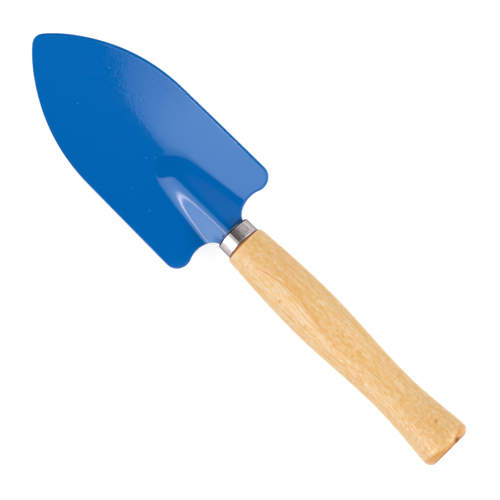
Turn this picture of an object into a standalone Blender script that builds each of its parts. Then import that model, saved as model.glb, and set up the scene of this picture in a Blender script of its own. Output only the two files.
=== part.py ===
"""Garden trowel: a pressed steel blade with a ribbed neck and a folded tang, a ferrule and a turned handle.

The tool lies on its back: the handle's axis and the blade run along X, the scoop opens upwards, and the
butt and the belly of the blade touch the ground at z = 0. Inside the tool's own frame x is measured from
the butt's flat face along the handle's axis, and z from that axis. On the blade, s is the distance
forward of the ferrule's mouth, so it is negative along the tang.
"""
import math

import bpy
import numpy as np

mm = 0.001

# Fits
gap = 0.3 * mm                      # between pieces that touch

# Handle: a turned hardwood grip
grip_length = 148.5 * mm            # butt face to the shoulder behind the ferrule
butt_radius = 14.0 * mm
butt_round = 4.3 * mm               # rounding of the butt's end
waist_radius = 11.45 * mm
waist_place = 41.5 * mm             # from the butt face
swell_radius = 13.9 * mm
swell_place = 99.0 * mm
shoulder_radius = 11.8 * mm
shoulder_round = 1.3 * mm
shoulder_pull = 4.0 * mm            # the grip's curve leaves the shoulder's rounding over this run
shoulder_swell = 0.32 * mm          # and grows by this much over it
hole_end_clearance = 1.5 * mm       # beyond the tang's point

# Ferrule: a short steel tube whose front edge is turned in
ferrule_length = 8.7 * mm
ferrule_radius = 10.35 * mm
ferrule_taper = 0.1 * mm            # smaller at the front by this much
ferrule_wall = 0.8 * mm
lip_radius = 9.1 * mm               # the opening inside the turned-in lip
lip_round = 0.9 * mm
rear_chamfer = 0.25 * mm            # at the ferrule's rear rim
spigot_recess = 2.5 * mm            # the wood's end lies this far inside the mouth

# Blade: one steel pressing
sheet = 1.4 * mm                    # thickness
blade_reach = 156.4 * mm            # ferrule's mouth to the tip
blade_half_width = 36.0 * mm
edge_round = 0.35 * mm
tip_radius = 5.8 * mm
tip_turn = math.radians(34.7)       # how far round the tip its arc runs
taper_reach = 80.7 * mm             # tip to where the sides run parallel
taper_pull_tip = 5.6 * mm           # how straight the taper leaves the tip
taper_pull_side = 48.6 * mm         # how flat it joins the side
corner_radius = 7.1 * mm
corner_start = 12.5 * mm            # where the side ends and the shoulder's corner begins
notch_depth = 7.7 * mm              # the notch between shoulder and neck reaches this far forward
notch_half_width = 18.3 * mm        # where it is deepest
neck_half_width = 7.8 * mm          # underside, at the ferrule's mouth
neck_lean_forward = 0.62            # how the notch's curve leaves the neck, as shares of its width
neck_lean_out = 0.20
notch_pull_in = 0.15                # how flat its bottom is towards the neck and towards the lobe
notch_pull_out = 0.66
lobe_pull = 0.40

# The pressed form of the blade: a shallow scoop with straight wings and a ridge rising to the neck
belly_depth = butt_radius           # the belly reaches the ground on which the butt lies
belly_place = 140.0 * mm            # from the mouth to the lowest point
neck_floor = 8.5 * mm               # depth of the scoop's floor below the axis at the mouth
wing_slope = 0.70                   # rise of the wings across the blade, were it not for the loss
wing_loss = 0.50                    # share of that slope that is lost again by the mouth
wing_reach = 169.0 * mm             # the slope grows over this run, from the tip back
floor_round = 12.7 * mm             # how widely the floor turns up into the wings
floor_round_tip = 76.0 * mm
tip_round_reach = 41.4 * mm         # the tip's wide rounding has passed over into the floor's by here
crest_rise = 2.4 * mm               # the rib's crest above the axis at the mouth
crest_fall = 0.216                  # its slope down towards the tip
crest_turn = 43.4 * mm              # where it bends down into its nose
crest_bend = 55.4 * mm              # radius of that bend
rib_reach = 57.0 * mm               # where the rib has run out
flank_slope = 0.84                  # of the rib's sides at the mouth
flank_slope_nose = 0.20
crest_round = 3.66 * mm             # half-width over which the crest is rounded, at the mouth
crest_round_nose = 1.95 * mm
fillet = 3.4 * mm                   # where the rib's sides meet the floor, at the mouth
fillet_nose = 1.2 * mm
rear_start = 34.0 * mm              # the mesh's rows start to turn to the rear outline here
rib_strip = 12.9 * mm               # the finer columns cover this half-width

# The tang: the neck goes on as a channel that tapers to a blunt point inside the handle
tang_shoulder = 6.5 * mm            # mouth to where the channel has its own width
tang_half_width = 3.9 * mm
tang_depth = 4.4 * mm
tang_rise = 2.0 * mm                # underside of its crest above the axis
tang_length = 64.0 * mm             # mouth to point
tang_end_half_width = 1.5 * mm
tang_end_depth = 1.2 * mm
channel_power = 2.6

# Mesh density
turn_steps = 48
rib_columns = 6
wing_columns = 12
front_rows = 15
middle_rows = 15
side_rows = 4
corner_rows = 4
tang_shoulder_rows = 4
tang_rows = 7

mouth = grip_length + gap + ferrule_length
overall_length = mouth + blade_reach


def clear_scene():
    for old in list(bpy.data.objects):
        bpy.data.objects.remove(old, do_unlink=True)


def make_material(name, colour, roughness, metallic):
    material = bpy.data.materials.new(name)
    material.use_nodes = True
    shader = material.node_tree.nodes["Principled BSDF"]
    shader.inputs["Base Color"].default_value = (*colour, 1.0)
    shader.inputs["Roughness"].default_value = roughness
    shader.inputs["Metallic"].default_value = metallic
    return material


def add_object(name, vertices, edges, faces, material, collection, parent):
    mesh = bpy.data.meshes.new(name)
    mesh.from_pydata([tuple(float(c) for c in v) for v in vertices], edges, faces)
    mesh.materials.append(material)
    made = bpy.data.objects.new(name, mesh)
    collection.objects.link(made)
    made.parent = parent
    return made


def bezier(start, pull_start, pull_end, end, count):
    """Points of a cubic curve, both ends included."""
    t = np.linspace(0.0, 1.0, count + 1)[:, None]
    a, b, c, d = (np.array(p, dtype=float) for p in (start, pull_start, pull_end, end))
    return (1 - t) ** 3 * a + 3 * t * (1 - t) ** 2 * b + 3 * t * t * (1 - t) * c + t ** 3 * d


def arc(centre, radius, first, last, count):
    """Points of an arc, angles in radians from the first axis towards the second."""
    angles = np.linspace(first, last, count + 1)
    return np.stack([centre[0] + radius * np.cos(angles), centre[1] + radius * np.sin(angles)], axis=1)


def chain(*pieces):
    """One run of points from runs that meet end to end."""
    return np.concatenate([pieces[0]] + [p[1:] for p in pieces[1:]])


def spread(points, count):
    """The same run of points, re-spaced evenly along its length."""
    steps = np.hypot(*np.diff(points, axis=0).T)
    length = np.concatenate([[0.0], np.cumsum(steps)])
    places = np.linspace(0.0, length[-1], count + 1)
    return np.stack([np.interp(places, length, points[:, k]) for k in (0, 1)], axis=1)


def ease(t):
    """0 to 1 with flat ends."""
    t = np.clip(t, 0.0, 1.0)
    return t * t * (3 - 2 * t)


# The pressed form: height of the blade's underside above the handle's axis

def scoop_height(s, y):
    """The floor sinks to the belly along a quarter wave, and the wings rise from it along a hyperbola."""
    from_tip = blade_reach - s
    floor = -neck_floor - (belly_depth - neck_floor) * np.sin(math.pi / 2 * s / belly_place)
    slope = wing_slope * ease(from_tip / wing_reach) * (1 - wing_loss * (from_tip / blade_reach) ** 2)
    rounding = floor_round + (floor_round_tip - floor_round) * ease(1 - from_tip / tip_round_reach)
    return floor + slope * (np.sqrt(rounding ** 2 + y * y) - rounding)


def rib_height(s, y):
    """The rib is a ridge whose crest falls towards the tip and bends down into a nose."""
    share = np.clip(s / rib_reach, 0.0, 1.4)
    slope = flank_slope + (flank_slope_nose - flank_slope) * share
    rounding = crest_round + (crest_round_nose - crest_round) * share
    crest = crest_rise - crest_fall * s - np.clip(s - crest_turn, 0.0, None) ** 2 / (2 * crest_bend)
    return crest - slope * (np.sqrt(rounding ** 2 + y * y) - rounding)


def blade_height(s, y):
    """The higher of scoop and rib, with a fillet between them that narrows towards the nose."""
    scoop = scoop_height(s, y)
    rib = rib_height(s, y)
    blend = fillet + (fillet_nose - fillet) * np.clip(s / rib_reach, 0.0, 1.4)
    return (scoop + rib + np.sqrt((scoop - rib) ** 2 + blend ** 2)) / 2


def tang_section(s, count):
    """Half the underside of the tang at s (negative): points across it and their heights."""
    fold = ease(-s / tang_shoulder)
    along = np.clip((-s - tang_shoulder) / (tang_length - tang_shoulder), 0.0, 1.0)
    root_half = neck_half_width + (tang_half_width - neck_half_width) * fold
    half = root_half + (tang_end_half_width - tang_half_width) * along
    mouth_edge = blade_height(0.0, 0.0) - blade_height(0.0, neck_half_width)
    depth = mouth_edge + (tang_depth - mouth_edge) * fold + (tang_end_depth - tang_depth) * along
    crest = blade_height(0.0, 0.0) * (1 - fold) + tang_rise * (1 - along) * fold
    f = np.linspace(0.0, 1.0, count + 1)
    neck_shape = (blade_height(0.0, 0.0) - blade_height(0.0, f * neck_half_width)) / mouth_edge
    channel = f ** channel_power
    return f * half, crest - depth * (neck_shape * (1 - fold) + channel * fold)


# The blade's outline in plan, one half, as points (s, y)

def front_outline():
    """From the tip round to where the sides run parallel."""
    tip_centre = (blade_reach - tip_radius, 0.0)
    tip = arc(tip_centre, tip_radius, 0.0, tip_turn, 6)
    heading = np.array([-math.sin(tip_turn), math.cos(tip_turn)])
    side = (blade_reach - taper_reach, blade_half_width)
    before_side = (side[0] + taper_pull_side, side[1])
    taper = bezier(tip[-1], tip[-1] + taper_pull_tip * heading, before_side, side, 40)
    return chain(tip, taper)


def rear_outline():
    """From the neck at the mouth, through the notch and the shoulder's lobe, half round the corner."""
    neck = (0.0, neck_half_width)
    notch = (notch_depth, notch_half_width)
    corner_centre = (corner_start, blade_half_width - corner_radius)
    lobe = (corner_start - corner_radius, corner_centre[1])
    lean = notch_half_width - neck_half_width
    to_notch = bezier(neck, (neck_lean_forward * lean, neck_half_width + neck_lean_out * lean),
                      (notch_depth, notch_half_width - notch_pull_in * lean), notch, 14)
    rise = lobe[1] - notch_half_width
    to_lobe = bezier(notch, (notch_depth, notch_half_width + notch_pull_out * rise),
                     (lobe[0], lobe[1] - lobe_pull * rise), lobe, 10)
    round_half = arc(corner_centre, corner_radius, math.pi, math.pi * 3 / 4, 5)
    return chain(to_notch, to_lobe, round_half)


def corner_outline():
    """The rest of the corner, from its middle to the side."""
    corner_centre = (corner_start, blade_half_width - corner_radius)
    return arc(corner_centre, corner_radius, math.pi * 3 / 4, math.pi / 2, corner_rows)


def blade_grid():
    """Rows of (s, y) from the tip to the rear edge, each from the centreline to the side.

    The first rows follow the pointed front outline and the last the shoulder and notch, and the rows
    between pass from one to the other, so the grid ends exactly on the outline all round.
    """
    columns = rib_columns + wing_columns
    front = front_outline()
    reach_split = len(front) // 2
    tip_run = spread(front[:reach_split + 1], columns)
    side_run = spread(front[reach_split:], front_rows)
    middle_start = blade_reach - taper_reach
    middle_end = rear_start
    rib_share = np.linspace(0.0, 1.0, rib_columns + 1) * rib_strip / blade_half_width
    wing_share = np.linspace(rib_share[-1], 1.0, wing_columns + 1)
    share = np.concatenate([rib_share, wing_share[1:]])

    rows = []
    tip_share = tip_run[:, 1] / tip_run[-1, 1]
    bulge = (tip_run[:, 0] - tip_run[-1, 0]) / (tip_run[0, 0] - tip_run[-1, 0])
    for i, (side_s, side_y) in enumerate(side_run):
        back = i / front_rows
        centre_s = blade_reach + (middle_start - blade_reach) * back
        mixed = tip_share + (share - tip_share) * ease(back)
        rows.append((side_s + (centre_s - side_s) * bulge, side_y * mixed))

    for i in range(1, middle_rows + 1):
        s = middle_start + (middle_end - middle_start) * i / middle_rows
        rows.append((np.full(columns + 1, s), blade_half_width * share))

    neck_run = np.stack([np.zeros(rib_columns + 1), np.linspace(0.0, neck_half_width, rib_columns + 1)], axis=1)
    rear_run = chain(neck_run, spread(rear_outline(), wing_columns))
    rear_share = rear_run[:, 1] / rear_run[-1, 1]
    side_run = np.linspace((middle_end, blade_half_width), (corner_start, blade_half_width), side_rows + 1)
    side_run = chain(side_run, corner_outline()[::-1])
    for side_s, side_y in side_run[1:]:
        back = (middle_end - side_s) / (middle_end - rear_run[-1, 0])
        mixed = share + (rear_share - share) * back
        rows.append((middle_end + (rear_run[:, 0] - middle_end) * back, side_y * mixed))
    return rows


def make_blade(material, collection, parent):
    """The underside is laid out as a half sheet, mirrored, then given its thickness and rounded edges."""
    points = []
    faces = []
    rows = []
    for s, y in blade_grid():
        rows.append(range(len(points), len(points) + len(s)))
        points.extend(zip(mouth + s, y, blade_height(s, y)))
    shoulder_places = np.linspace(0.0, -tang_shoulder, tang_shoulder_rows + 1)
    taper_places = np.linspace(-tang_shoulder, -tang_length, tang_rows + 1)
    rows.append(rows[-1][:rib_columns + 1])
    for s in np.concatenate([shoulder_places, taper_places[1:]])[1:]:
        y, z = tang_section(s, rib_columns)
        rows.append(range(len(points), len(points) + len(y)))
        points.extend((mouth + s, y[j], z[j]) for j in range(len(y)))
    for front, back in zip(rows, rows[1:]):
        if front[0] == back[0]:
            continue
        for j in range(min(len(front), len(back)) - 1):
            faces.append((front[j], front[j + 1], back[j + 1], back[j]))
    blade = add_object("blade", points, [], faces, material, collection, parent)
    blade.data.shade_smooth()

    mirror = blade.modifiers.new("other half", "MIRROR")
    mirror.use_axis = (False, True, False)
    mirror.merge_threshold = 0.01 * mm
    thickness = blade.modifiers.new("sheet", "SOLIDIFY")
    thickness.thickness = sheet
    thickness.offset = 1.0
    thickness.use_even_offset = True
    rounding = blade.modifiers.new("rounded edge", "BEVEL")
    rounding.width = edge_round
    rounding.segments = 2
    rounding.limit_method = "ANGLE"
    rounding.angle_limit = math.radians(50)
    return blade


def turn(name, profile, material, collection, parent):
    """Turn a profile of (distance along the axis, radius) that runs back along the outside."""
    points = [(radius, 0.0, place) for place, radius in profile]
    edges = [(i, i + 1) for i in range(len(points) - 1)]
    turned = add_object(name, points, edges, [], material, collection, parent)
    turned.rotation_euler = (0.0, math.pi / 2, 0.0)
    screw = turned.modifiers.new("turned", "SCREW")
    screw.axis = "Z"
    screw.steps = turn_steps
    screw.render_steps = turn_steps
    screw.use_merge_vertices = True
    screw.merge_threshold = 0.01 * mm
    screw.use_smooth_shade = True
    return turned


def tang_hole():
    """The drilled hole that takes the tang, from its blind end out to the wood's front face."""
    places = [-tang_length, -tang_shoulder, -spigot_recess]
    profile = [(mouth - tang_length - hole_end_clearance, 0.0)]
    for s in places:
        y, z = tang_section(s, rib_columns)
        radius = float(np.max(np.hypot(y, z))) + sheet + gap
        if s == -tang_length:
            profile.append((profile[0][0], radius))
        profile.append((mouth + s, radius))
    return profile


def make_handle(material, collection, parent):
    spigot_radius = ferrule_radius - ferrule_taper - ferrule_wall - gap
    shoulder_start = (grip_length - shoulder_round, shoulder_radius)
    spigot = [(mouth - spigot_recess, spigot_radius), (grip_length, spigot_radius)]
    shoulder = arc((grip_length - shoulder_round, shoulder_radius - shoulder_round), shoulder_round,
                   0.0, math.pi / 2, 4)
    front_run = swell_place + 0.45 * (grip_length - swell_place)
    front = bezier(shoulder_start,
                   (shoulder_start[0] - shoulder_pull, shoulder_radius + shoulder_swell),
                   (front_run, swell_radius), (swell_place, swell_radius), 8)
    back_run = 0.33 * (swell_place - waist_place)
    back = bezier((swell_place, swell_radius), (swell_place - back_run, swell_radius),
                  (waist_place + back_run, waist_radius), (waist_place, waist_radius), 8)
    flare_run = waist_place - butt_round
    flare = bezier((waist_place, waist_radius), (waist_place - 0.42 * flare_run, waist_radius),
                   (butt_round + 0.1 * flare_run, butt_radius), (butt_round, butt_radius), 8)
    butt = arc((butt_round, butt_radius - butt_round), butt_round, math.pi / 2, math.pi, 5)
    outside = chain(np.array(spigot), np.array([spigot[1], tuple(shoulder[0])]), shoulder, front, back,
                    flare, butt)
    profile = tang_hole() + [tuple(p) for p in outside] + [(0.0, 0.0)]
    return turn("handle", profile, material, collection, parent)


def make_ferrule(material, collection, parent):
    rear = grip_length + gap
    front_radius = ferrule_radius - ferrule_taper
    bore = front_radius - ferrule_wall
    lip = arc((mouth - lip_round, front_radius - lip_round), lip_round, 0.0, math.pi / 2, 4)
    profile = [
        (rear, ferrule_radius - ferrule_wall),
        (mouth - ferrule_wall - (bore - lip_radius), bore),
        (mouth - ferrule_wall, lip_radius),
        (mouth, lip_radius),
        *(tuple(p) for p in lip),
        (rear + rear_chamfer, ferrule_radius),
        (rear, ferrule_radius - rear_chamfer),
        (rear, ferrule_radius - ferrule_wall),
    ]
    return turn("ferrule", profile, material, collection, parent)


def main():
    clear_scene()
    trowel = bpy.data.collections.new("garden_trowel")
    bpy.context.scene.collection.children.link(trowel)
    frame = bpy.data.objects.new("trowel_frame", None)
    frame.location = (-overall_length / 2, 0.0, butt_radius)
    trowel.objects.link(frame)
    paint = make_material("blue_paint", (0.0, 0.12, 0.44), 0.25, 0.0)
    steel = make_material("bright_steel", (0.62, 0.60, 0.58), 0.3, 1.0)
    wood = make_material("pale_wood", (0.80, 0.58, 0.32), 0.45, 0.0)
    make_blade(paint, trowel, frame)
    make_ferrule(steel, trowel, frame)
    make_handle(wood, trowel, frame)


main()
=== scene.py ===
import math
import bpy
import numpy as np
from mathutils import Matrix, Vector

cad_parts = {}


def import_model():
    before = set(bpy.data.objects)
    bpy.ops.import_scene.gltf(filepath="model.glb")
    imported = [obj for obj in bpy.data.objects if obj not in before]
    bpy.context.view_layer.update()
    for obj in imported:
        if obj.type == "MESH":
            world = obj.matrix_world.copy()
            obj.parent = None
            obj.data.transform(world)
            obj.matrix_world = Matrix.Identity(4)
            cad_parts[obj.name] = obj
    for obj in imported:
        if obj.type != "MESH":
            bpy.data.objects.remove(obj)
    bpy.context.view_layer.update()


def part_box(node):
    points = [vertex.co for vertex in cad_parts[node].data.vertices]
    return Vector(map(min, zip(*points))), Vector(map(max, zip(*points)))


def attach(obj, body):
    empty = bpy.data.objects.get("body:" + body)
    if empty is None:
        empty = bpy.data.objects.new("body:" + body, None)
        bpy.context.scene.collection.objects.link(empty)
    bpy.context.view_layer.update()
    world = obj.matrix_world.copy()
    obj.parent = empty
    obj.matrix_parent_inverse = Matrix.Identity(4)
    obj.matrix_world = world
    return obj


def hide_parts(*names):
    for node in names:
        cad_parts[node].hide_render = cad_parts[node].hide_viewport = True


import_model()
print("frame loaded")

mm = 0.001
handleLow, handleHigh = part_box("handle")
buttX = handleLow[0]  # the butt's flat face
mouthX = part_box("ferrule")[1][0]  # the ferrule's mouth, where the blade's own length starts
axisZ = (handleLow[2] + handleHigh[2]) / 2


# Curves and small helpers

def bezier(start, pullStart, pullEnd, end, count):
    t = np.linspace(0.0, 1.0, count + 1)[:, None]
    a, b, c, d = (np.array(p, dtype=float) for p in (start, pullStart, pullEnd, end))
    return (1 - t) ** 3 * a + 3 * t * (1 - t) ** 2 * b + 3 * t * t * (1 - t) * c + t ** 3 * d


def arc(centre, radius, first, last, count):
    angles = np.linspace(first, last, count + 1)
    return np.stack([centre[0] + radius * np.cos(angles), centre[1] + radius * np.sin(angles)], axis=1)


def chain(*pieces):  # runs of points joined end to end, with shared ends kept once
    return np.concatenate([np.asarray(pieces[0])] + [np.asarray(p)[1:] for p in pieces[1:]])


def spread(points, count):  # the same run of points, evenly spaced along its length
    steps = np.hypot(*np.diff(points, axis=0).T)
    length = np.concatenate([[0.0], np.cumsum(steps)])
    places = np.linspace(0.0, length[-1], count + 1)
    return np.stack([np.interp(places, length, points[:, k]) for k in (0, 1)], axis=1)


def ease(t):  # 0 to 1 with flat ends
    t = np.clip(t, 0.0, 1.0)
    return t * t * (3 - 2 * t)


def newObject(name, vertices, faces, material):
    mesh = bpy.data.meshes.new(name)
    mesh.from_pydata(vertices, [], faces)
    mesh.materials.append(material)
    made = bpy.data.objects.new(name, mesh)
    bpy.context.scene.collection.objects.link(made)
    return made


def addPiece(name, vertices, faces, node, material):
    piece = newObject(name, vertices.tolist(), faces, material)
    piece.data.shade_smooth()
    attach(piece, "root")
    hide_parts(node)


# Shader helpers

def newMaterial(name):
    material = bpy.data.materials.new(name)
    material.use_nodes = True
    tree = material.node_tree
    return material, tree, tree.nodes["Principled BSDF"]


def put(socket, value):  # links an output, or sets a number, a vector or an (r, g, b) colour
    if isinstance(value, bpy.types.NodeSocket):
        socket.id_data.links.new(value, socket)
    elif socket.type == "RGBA":
        socket.default_value = (*value, 1.0)
    else:
        socket.default_value = value


def addNode(tree, kind, inputs, **settings):
    node = tree.nodes.new(kind)
    for name, value in settings.items():
        setattr(node, name, value)
    for name, value in inputs.items():
        put(node.inputs[name], value)
    return node.outputs


def maths(tree, operation, *values, clamp=False):
    return addNode(tree, "ShaderNodeMath", dict(enumerate(values)), operation=operation, use_clamp=clamp)[0]


def times(tree, first, *others):  # the product of all values
    for value in others:
        first = maths(tree, "MULTIPLY", first, value)
    return first


def minus(tree, value, other):
    return maths(tree, "SUBTRACT", value, other)


def apart(tree, value, other):  # how far apart two values are
    return maths(tree, "ABSOLUTE", minus(tree, value, other))


def band(tree, value, start, end, low=0.0, high=1.0):  # low at start, high at end, eased between them
    inputs = {"Value": value, "From Min": start, "From Max": end, "To Min": low, "To Max": high}
    return addNode(tree, "ShaderNodeMapRange", inputs, interpolation_type="SMOOTHSTEP")["Result"]


def past(tree, value, place, soft):  # 1 beyond a place, with an edge that is 2 * soft wide
    return band(tree, value, place - soft, place + soft)


def before(tree, value, place, soft):
    return band(tree, value, place + soft, place - soft)


def mixColour(tree, factor, first, second, blend="MIX"):
    inputs = {"Factor": factor, "A": first, "B": second}
    outputs = addNode(tree, "ShaderNodeMix", inputs, data_type="RGBA", blend_type=blend)
    return [o for o in outputs if o.type == "RGBA"][0]


def layered(tree, colour, *layers):  # layers of colour, each (mask, colour), one over the other
    for mask, over in layers:
        colour = mixColour(tree, mask, colour, over)
    return colour


def noise(tree, vector, scale, detail=2.0, roughness=0.5, distortion=0.0):
    inputs = {"Vector": vector, "Scale": scale, "Detail": detail, "Roughness": roughness,
              "Distortion": distortion}
    return addNode(tree, "ShaderNodeTexNoise", inputs)["Fac"]


def stretch(tree, vector, factors, offset=(0.0, 0.0, 0.0)):
    inputs = {"Vector": vector, "Scale": factors, "Location": offset}
    return addNode(tree, "ShaderNodeMapping", inputs)["Vector"]


def bump(tree, height, distance):
    return addNode(tree, "ShaderNodeBump", {"Height": height, "Distance": distance})["Normal"]


def axes(tree, vector):  # the x, y and z of a vector
    return addNode(tree, "ShaderNodeSeparateXYZ", {0: vector})


# Blade: lengths in millimetres here, s forward of the ferrule's mouth, y across, heights from the axis

blade = {
    # plan outline
    "reach": 156.39, "halfWidth": 35.975,
    "tipRadius": 5.8, "tipTurn": 34.7, "taperReach": 80.7, "taperPullTip": 5.6, "taperPullSide": 48.6,
    "cornerRadius": 7.1, "cornerStart": 12.5,
    "notchDepth": 7.7, "notchHalfWidth": 18.3, "neckHalfWidth": 7.8,
    "neckLeanForward": 0.62, "neckLeanOut": 0.20, "notchPullIn": 0.15, "notchPullOut": 0.66, "lobePull": 0.40,
    # scoop
    "sheet": 1.4, "bellyDepth": 14.0, "bellyPlace": 140.0, "neckFloor": 8.5,
    "wingSlope": 0.70, "wingLoss": 0.50, "wingReach": 169.0,
    "floorRound": 12.7, "floorRoundTip": 76.0, "tipRoundReach": 41.4,
    # rib, whose sizes change evenly from the mouth to its nose and stop changing outside ribSpan
    "crestRise": 2.4, "crestFall": 0.216, "crestTurn": 43.4, "crestBend": 55.4, "ribReach": 57.0,
    "flankSlope": 0.84, "flankSlopeNose": 0.20, "crestRound": 3.66, "crestRoundNose": 1.95,
    "fillet": 3.4, "filletNose": 1.2, "ribSpan": (-0.1, 1.4), "crestRoundLeast": 0.3, "filletLeast": 0.1,
    "ribShift": 0.4, "ribShiftWidth": 14.0, "ribShiftStart": 60.0, "ribShiftRun": 25.0,
    # tang
    "tangShoulder": 6.5, "tangHalfWidth": 3.9, "tangDepth": 4.4, "tangRise": 2.0, "tangLength": 64.0,
    "tangEndHalfWidth": 1.5, "tangEndDepth": 1.2, "channelPower": 2.6,
    # rim
    "edgeRound": 0.22, "rollWidth": 1.45, "rollDepth": 0.3, "rollLeast": 0.08, "rollPower": 1.4,
    "rollSide": 6.0, "rollStart": -1.0, "rollRun": 4.0,
    "beadHeight": 0.025, "beadFront": 0.055, "beadPlace": 1.6, "beadWidth": 0.28,
    "frontStart": 60.0, "frontRun": 60.0, "rimSquare": 0.15,
    "inset": 2.6, "rearInset": 1.6, "neckInset": 1.0, "neckBlend": 20, "mitreLeast": 1.2,
    # grid
    "ribColumns": 22, "wingColumns": 34, "ribShare": 0.36,
    "frontRows": 60, "middleRows": 56, "middleEnd": 34.0, "rearRows": 44, "rearBlend": 12, "tangRows": 40,
    "arcSteps": 60, "taperSteps": 400, "tipSteps": 120, "notchSteps": 80,
    "faceSteps": 44, "edgeSteps": 8, "lowSteps": 5,
}


def bladeUnderside(s, y):
    # floor: a quarter wave down to the belly; wings: slope * (sqrt(r^2 + y^2) - r); rib: a falling roof of
    # the same kind, turned upside down; the two are joined by a smooth maximum whose fillet is b
    p = blade
    back = np.clip(p["reach"] - s, 0.0, None)
    slope = p["wingSlope"] * ease(back / p["wingReach"]) * (1 - p["wingLoss"] * (back / p["reach"]) ** 2)
    r = p["floorRound"] + (p["floorRoundTip"] - p["floorRound"]) * ease(1 - back / p["tipRoundReach"])
    z = -p["neckFloor"] - (p["bellyDepth"] - p["neckFloor"]) * np.sin(math.pi / 2 * s / p["bellyPlace"])
    z = z + slope * (np.sqrt(r * r + y * y) - r)
    q = np.clip(s / p["ribReach"], *p["ribSpan"])
    m = p["flankSlope"] + (p["flankSlopeNose"] - p["flankSlope"]) * q
    a = np.maximum(p["crestRound"] + (p["crestRoundNose"] - p["crestRound"]) * q, p["crestRoundLeast"])
    b = np.maximum(p["fillet"] + (p["filletNose"] - p["fillet"]) * q, p["filletLeast"])
    turned = np.maximum(s - p["crestTurn"], 0.0)
    roof = p["crestRise"] - p["crestFall"] * s - turned ** 2 / (2 * p["crestBend"])
    roof = roof - m * (np.sqrt(y * y + a * a) - a)
    return (z + roof + np.sqrt((z - roof) ** 2 + b * b)) / 2


def sheetPoint(s, y):
    # the blade for s >= 0; behind it the tang, which keeps the neck's y while it folds to a channel; the rib
    # was pressed a little to one side, by a bell-shaped shift
    p = blade
    neck = p["neckHalfWidth"]
    back = np.clip(-s, 0.0, None)
    f = np.clip(np.abs(y) / neck, 0.0, 1.0)
    fold = ease(back / p["tangShoulder"])
    along = np.clip((back - p["tangShoulder"]) / (p["tangLength"] - p["tangShoulder"]), 0.0, 1.0)
    half = neck + (p["tangHalfWidth"] - neck) * fold + (p["tangEndHalfWidth"] - p["tangHalfWidth"]) * along
    top = float(bladeUnderside(np.zeros(1), np.zeros(1))[0])
    edge = top - float(bladeUnderside(np.zeros(1), np.full(1, neck))[0])
    depth = edge + (p["tangDepth"] - edge) * fold + (p["tangEndDepth"] - p["tangDepth"]) * along
    crest = top * (1 - fold) + p["tangRise"] * (1 - along) * fold
    neckShape = (top - bladeUnderside(np.zeros_like(y), f * neck)) / edge
    channel = f ** p["channelPower"]
    tangZ = crest - depth * (neckShape * (1 - fold) + channel * fold)
    forward = s >= 0.0
    z = np.where(forward, bladeUnderside(np.maximum(s, 0.0), y), tangZ)
    across = np.where(forward, y, np.sign(y) * f * half)
    shift = p["ribShift"] * ease((p["ribShiftStart"] - s) / p["ribShiftRun"]) * (1 - fold)
    across = across + shift * np.exp(-(y / p["ribShiftWidth"]) ** 2)
    return np.stack([s, across, z], axis=-1)


def sheetNormal(s, y):  # from differences over a short step, kept inside the tang's edges
    step = 0.05
    along = sheetPoint(s + step, y) - sheetPoint(s - step, y)
    inside = np.where((s < 0) & (np.abs(y) > blade["neckHalfWidth"] - step), np.sign(y) * step, 0.0)
    across = sheetPoint(s, y - inside + step) - sheetPoint(s, y - inside - step)
    normal = np.cross(along, across)
    return normal / np.linalg.norm(normal, axis=-1, keepdims=True)


def raised(s, y, height):  # height is measured square to the sheet, from its underside
    return sheetPoint(s, y) + sheetNormal(s, y) * np.broadcast_to(height, s.shape)[..., None]


def halfOutline():
    # the flat outline of one half, from the tip back to the tang's end, in the grid's five runs
    p = blade
    steps = p["arcSteps"]
    turn = math.radians(p["tipTurn"])
    tip = arc((p["reach"] - p["tipRadius"], 0.0), p["tipRadius"], 0.0, turn, steps)
    heading = np.array([-math.sin(turn), math.cos(turn)])
    side = (p["reach"] - p["taperReach"], p["halfWidth"])
    taper = bezier(tip[-1], tip[-1] + p["taperPullTip"] * heading,
                   (side[0] + p["taperPullSide"], side[1]), side, p["taperSteps"])
    front = chain(tip, taper)
    tipRun = spread(front[:p["tipSteps"] + 1], p["ribColumns"] + p["wingColumns"])
    frontSide = spread(front[p["tipSteps"]:], p["frontRows"])
    middle = np.linspace(side, (p["middleEnd"], p["halfWidth"]), p["middleRows"] + 1)
    centre = (p["cornerStart"], p["halfWidth"] - p["cornerRadius"])
    straight = np.linspace(middle[-1], (p["cornerStart"], p["halfWidth"]), steps)
    bend = arc(centre, p["cornerRadius"], math.pi / 2, math.pi * 3 / 4, steps)
    rearSide = spread(chain(straight, bend), p["rearRows"])
    notch = (p["notchDepth"], p["notchHalfWidth"])
    neck = (0.0, p["neckHalfWidth"])
    lobe = (p["cornerStart"] - p["cornerRadius"], centre[1])
    lean = notch[1] - neck[1]
    rise = lobe[1] - notch[1]
    toNotch = bezier(neck, (p["neckLeanForward"] * lean, neck[1] + p["neckLeanOut"] * lean),
                     (notch[0], notch[1] - p["notchPullIn"] * lean), notch, p["notchSteps"])
    toLobe = bezier(notch, (notch[0], notch[1] + p["notchPullOut"] * rise),
                    (lobe[0], lobe[1] - p["lobePull"] * rise), lobe, steps)
    lobeBend = arc(centre, p["cornerRadius"], math.pi, math.pi * 3 / 4, steps)
    rear = spread(chain(toNotch, toLobe, lobeBend), p["wingColumns"])[::-1]
    tangSide = np.linspace(neck, (-p["tangLength"], neck[1]), p["tangRows"] + 1)
    tangEnd = np.linspace(tangSide[-1], (-p["tangLength"], 0.0), p["ribColumns"] + 1)
    return tipRun, chain(frontSide, middle, rearSide), rear, tangSide, tangEnd


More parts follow.
